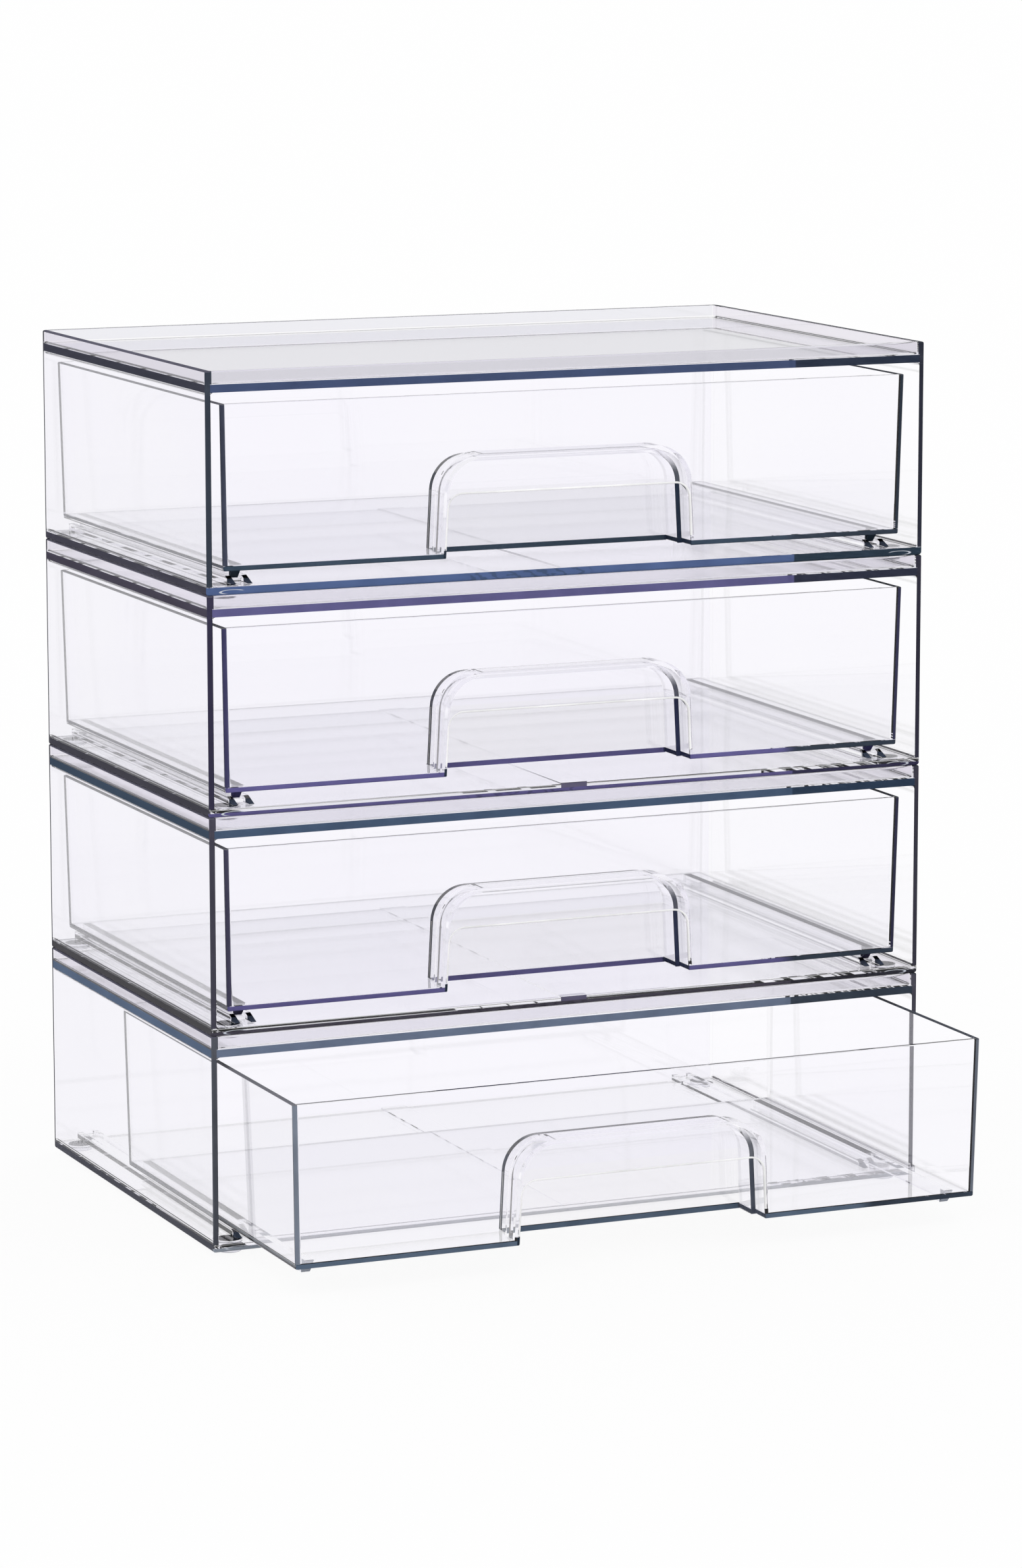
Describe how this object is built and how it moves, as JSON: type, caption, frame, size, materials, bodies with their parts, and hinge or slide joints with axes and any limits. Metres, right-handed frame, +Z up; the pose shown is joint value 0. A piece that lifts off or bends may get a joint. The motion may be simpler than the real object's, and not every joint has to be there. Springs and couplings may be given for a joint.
{
  "type": "stacked drawer organizer",
  "caption": "Stack of clear box units, each with a sliding drawer that has an arched finger recess in its front, and a rimmed tray on top.",
  "frame": {"origin": "on the standing surface, at the middle of the whole footprint with the lowest drawer pulled open as at rest", "axes": "+Z up, +X to the right seen from the front, drawers pull out towards -Y"},
  "size_m": [0.3194, 0.273, 0.3602],
  "materials": {
    "clear_case": "water-clear moulded plastic, polished",
    "clear_drawer": "water-clear moulded plastic, polished",
    "clear_foot": "clear soft pad, satin"
  },
  "bodies": {
    "unit_1": {"case_1": "clear_case", "foot_1_front_left": "clear_foot", "foot_1_front_right": "clear_foot", "foot_1_back_left": "clear_foot", "foot_1_back_right": "clear_foot"},
    "drawer_body_1": {"drawer_1": "clear_drawer"},
    "unit_2": {"case_2": "clear_case", "foot_2_front_left": "clear_foot", "foot_2_front_right": "clear_foot", "foot_2_back_left": "clear_foot", "foot_2_back_right": "clear_foot"},
    "drawer_body_2": {"drawer_2": "clear_drawer"},
    "unit_3": {"case_3": "clear_case", "foot_3_front_left": "clear_foot", "foot_3_front_right": "clear_foot", "foot_3_back_left": "clear_foot", "foot_3_back_right": "clear_foot"},
    "drawer_body_3": {"drawer_3": "clear_drawer"},
    "unit_4": {"case_4": "clear_case", "foot_4_front_left": "clear_foot", "foot_4_front_right": "clear_foot", "foot_4_back_left": "clear_foot", "foot_4_back_right": "clear_foot"},
    "drawer_body_4": {"drawer_4": "clear_drawer"}
  },
  "joints": [
    {"name": "drawer_slide_1", "type": "slide", "parent": "unit_1", "child": "drawer_body_1", "axis": [0, -1, 0], "range_m": [-0.0742, 0.0658]},
    {"name": "drawer_slide_2", "type": "slide", "parent": "unit_2", "child": "drawer_body_2", "axis": [0, -1, 0], "range_m": [0, 0.14]},
    {"name": "drawer_slide_3", "type": "slide", "parent": "unit_3", "child": "drawer_body_3", "axis": [0, -1, 0], "range_m": [0, 0.14]},
    {"name": "drawer_slide_4", "type": "slide", "parent": "unit_4", "child": "drawer_body_4", "axis": [0, -1, 0], "range_m": [0, 0.14]},
    {"name": "unit_lift_2", "type": "slide", "parent": "unit_1", "child": "unit_2", "axis": [0, 0, 1], "range_m": [0, 0.04]},
    {"name": "unit_lift_3", "type": "slide", "parent": "unit_2", "child": "unit_3", "axis": [0, 0, 1], "range_m": [0, 0.04]},
    {"name": "unit_lift_4", "type": "slide", "parent": "unit_3", "child": "unit_4", "axis": [0, 0, 1], "range_m": [0, 0.04]}
  ]
}
